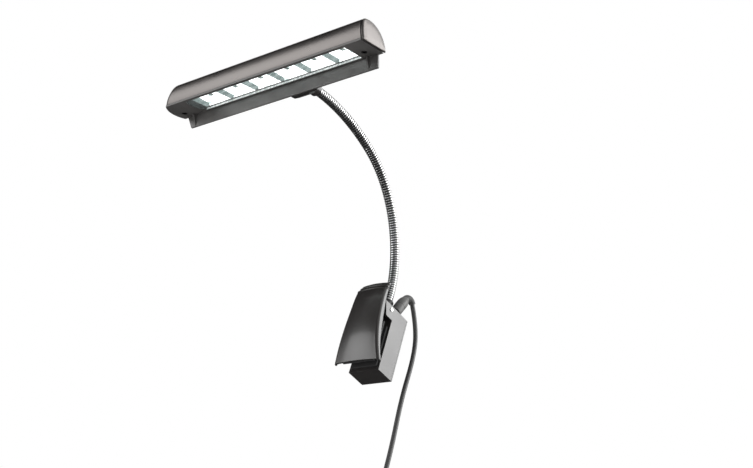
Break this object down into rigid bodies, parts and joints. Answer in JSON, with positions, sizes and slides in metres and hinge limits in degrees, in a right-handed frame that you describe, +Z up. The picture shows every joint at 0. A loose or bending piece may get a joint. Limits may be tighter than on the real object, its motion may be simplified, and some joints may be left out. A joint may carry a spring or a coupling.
{
  "type": "clip-on piano lamp",
  "caption": "Clip-on piano lamp with a long LED head on a bent chrome gooseneck and a spring clip, power lead hanging behind.",
  "frame": {"origin": "front top edge of the panel the clip grips, in the middle plane of the clip", "axes": "+X along the lamp head to the viewer's right, +Y backward through the panel, +Z up"},
  "size_m": [0.2235, 0.2628, 0.4031],
  "materials": {
    "black_gloss": "semi-gloss warm black",
    "black_satin": "satin warm black",
    "black_matte": "matte black",
    "cable_black": "satin black PVC",
    "pad_rubber": "matte rubber",
    "neck_chrome": "ribbed, bright plated",
    "bright_steel": "plated",
    "dark_steel": "blackened",
    "white_tray": "white",
    "clear_lens": "clear",
    "board": "circuit board",
    "led_window": "light-emitting chips"
  },
  "bodies": {
    "clip": {"rear_housing": "black_gloss", "rear_cover": "black_gloss", "rear_cover_screws": "dark_steel", "driver_board": "board", "dc_jack": "black_matte", "hinge_pin": "bright_steel", "torsion_spring": "bright_steel", "rear_pad": "pad_rubber", "power_plug": "cable_black", "plug_tip": "bright_steel", "cord_lead": "cable_black", "cord_coil": "cable_black", "cord_tie": "black_matte", "cord_tail": "cable_black", "adapter_relief": "cable_black", "adapter_body": "black_matte", "adapter_prongs": "bright_steel"},
    "jaw": {"front_jaw": "black_gloss", "front_pad": "pad_rubber"},
    "neck_foot": {"lower_ferrule": "black_gloss", "neck_1": "neck_chrome"},
    "neck_low": {"neck_2": "neck_chrome"},
    "neck_lower_mid": {"neck_3": "neck_chrome"},
    "neck_upper_mid": {"neck_4": "neck_chrome"},
    "neck_high": {"neck_5": "neck_chrome"},
    "head": {"neck_6": "neck_chrome", "upper_ferrule": "black_gloss", "neck_block": "black_gloss", "block_screws": "dark_steel", "head_housing": "black_gloss", "end_cap": "black_gloss", "light_cover": "black_satin", "cover_screws": "dark_steel", "lens": "clear_lens", "reflector": "white_tray", "led_board": "board", "leds": "led_window", "switch_body": "black_matte"},
    "button": {"switch_button": "black_matte"}
  },
  "joints": [
    {"name": "jaw_hinge", "type": "hinge", "parent": "clip", "child": "jaw", "pos_m": [0, 0.0039, 0.0084], "axis": [-1, 0, 0], "range_deg": [-6.5, 28], "stiffness_Nm_per_rad": 0.6, "deforming": ["torsion_spring"]},
    {"name": "neck_swivel", "type": "hinge", "parent": "clip", "child": "neck_foot", "pos_m": [0, 0.01282, 0.01959], "axis": [0, 0.1146, 0.9934], "range_deg": [-60, 60]},
    {"name": "neck_bend_1", "type": "hinge", "parent": "neck_foot", "child": "neck_low", "pos_m": [0, 0.00991, 0.05686], "axis": [1, 0, 0], "range_deg": [-20, 20]},
    {"name": "neck_bend_2", "type": "hinge", "parent": "neck_low", "child": "neck_lower_mid", "pos_m": [0, -0.00561, 0.09097], "axis": [1, 0, 0], "range_deg": [-20, 20]},
    {"name": "neck_bend_3", "type": "hinge", "parent": "neck_lower_mid", "child": "neck_upper_mid", "pos_m": [0, -0.03133, 0.11816], "axis": [1, 0, 0], "range_deg": [-20, 20]},
    {"name": "neck_bend_4", "type": "hinge", "parent": "neck_upper_mid", "child": "neck_high", "pos_m": [0, -0.0653, 0.13367], "axis": [1, 0, 0], "range_deg": [-20, 20]},
    {"name": "neck_bend_5", "type": "hinge", "parent": "neck_high", "child": "head", "pos_m": [0, -0.10265, 0.13728], "axis": [1, 0, 0], "range_deg": [-20, 20]},
    {"name": "switch_press", "type": "slide", "parent": "head", "child": "button", "axis": [0, -0.9159, -0.4015], "range_m": [0, 0.0009], "stiffness_N_per_m": 1000, "springref_m": -0.0005}
  ]
}
